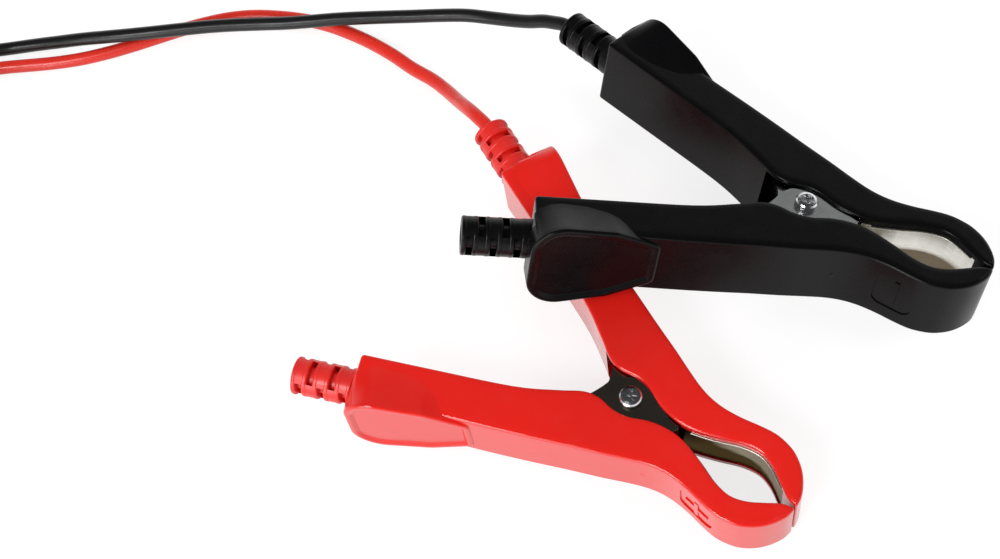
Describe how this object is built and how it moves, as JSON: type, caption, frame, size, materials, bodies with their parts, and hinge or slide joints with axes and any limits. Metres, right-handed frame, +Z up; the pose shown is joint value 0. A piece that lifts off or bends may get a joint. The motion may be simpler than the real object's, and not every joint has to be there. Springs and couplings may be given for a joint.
{
  "type": "battery charger lead set",
  "caption": "Red and black sprung battery clamps on separate leads, stored in tied loops and ending in a two-pole round-contact connector for a battery charger.",
  "frame": {"origin": "middle of the two clamps' footprint, on the surface they lie on", "axes": "+Z up from the surface; +X along the longer side of the two clamps' footprint, away from the stored loops; +Y towards the leads' exits"},
  "size_m": [0.3917, 0.2576, 0.0638],
  "materials": {
    "red_plastic": "glossy moulded red plastic",
    "black_plastic": "glossy moulded black plastic",
    "zinc_steel": "bright zinc-plated stamping",
    "nickel_strip": "nickel-plated strip",
    "spring_steel": "drawn spring wire",
    "screw_steel": "bright zinc-plated screw",
    "copper_lug": "tinned copper terminal",
    "red_cable": "smooth red PVC sheath",
    "black_cable": "smooth black PVC sheath",
    "tie_strap": "woven black strap",
    "connector_plastic": "moulded black plastic",
    "contact_brass": "bright turned brass"
  },
  "bodies": {
    "root": {"red_fixed_arm": "red_plastic", "red_fixed_frame": "zinc_steel", "red_fixed_liner": "nickel_strip", "red_spring": "spring_steel", "red_cable_end": "red_cable", "red_cable_lug": "copper_lug", "red_lug_screw": "screw_steel", "red_lead": "red_cable", "red_coil": "red_cable", "red_tail": "red_cable", "black_lead": "black_cable", "black_coil": "black_cable", "black_tail": "black_cable", "coil_tie": "tie_strap", "connector_housing": "connector_plastic", "connector_pin": "contact_brass", "connector_socket": "contact_brass"},
    "red_lever": {"red_lever_arm": "red_plastic", "red_lever_frame": "zinc_steel", "red_lever_liner": "nickel_strip", "red_pivot_screw": "screw_steel", "red_pivot_washer": "zinc_steel", "red_pivot_nut": "screw_steel"},
    "black_clamp": {"black_fixed_arm": "black_plastic", "black_fixed_frame": "zinc_steel", "black_fixed_liner": "nickel_strip", "black_spring": "spring_steel", "black_cable_end": "black_cable", "black_cable_lug": "copper_lug", "black_lug_screw": "screw_steel"},
    "black_lever": {"black_lever_arm": "black_plastic", "black_lever_frame": "zinc_steel", "black_lever_liner": "nickel_strip", "black_pivot_screw": "screw_steel", "black_pivot_washer": "zinc_steel", "black_pivot_nut": "screw_steel"}
  },
  "joints": [
    {"name": "red_squeeze", "type": "hinge", "parent": "root", "child": "red_lever", "pos_m": [-0.0081, -0.0472, 0.01383], "axis": [-0.0303, 0.0361, -0.9989], "range_deg": [0, 35], "stiffness_Nm_per_rad": 1.2, "springref_deg": -17.19, "deforming": ["red_spring"]},
    {"name": "black_tip", "type": "hinge", "parent": "root", "child": "black_clamp", "pos_m": [0.0292, 0.0717, 0], "axis": [-0.6065, 0.7951, 0], "range_deg": [0, 17.5]},
    {"name": "black_squeeze", "type": "hinge", "parent": "black_clamp", "child": "black_lever", "pos_m": [0.0574, -0.0052, 0.02543], "axis": [-0.2654, -0.1914, -0.9449], "range_deg": [0, 35], "stiffness_Nm_per_rad": 1.2, "springref_deg": -17.19, "deforming": ["black_spring"]}
  ],
  "couplings": [
    {"joint": "black_tip", "follows": "black_squeeze", "ratio": 0.5}
  ]
}
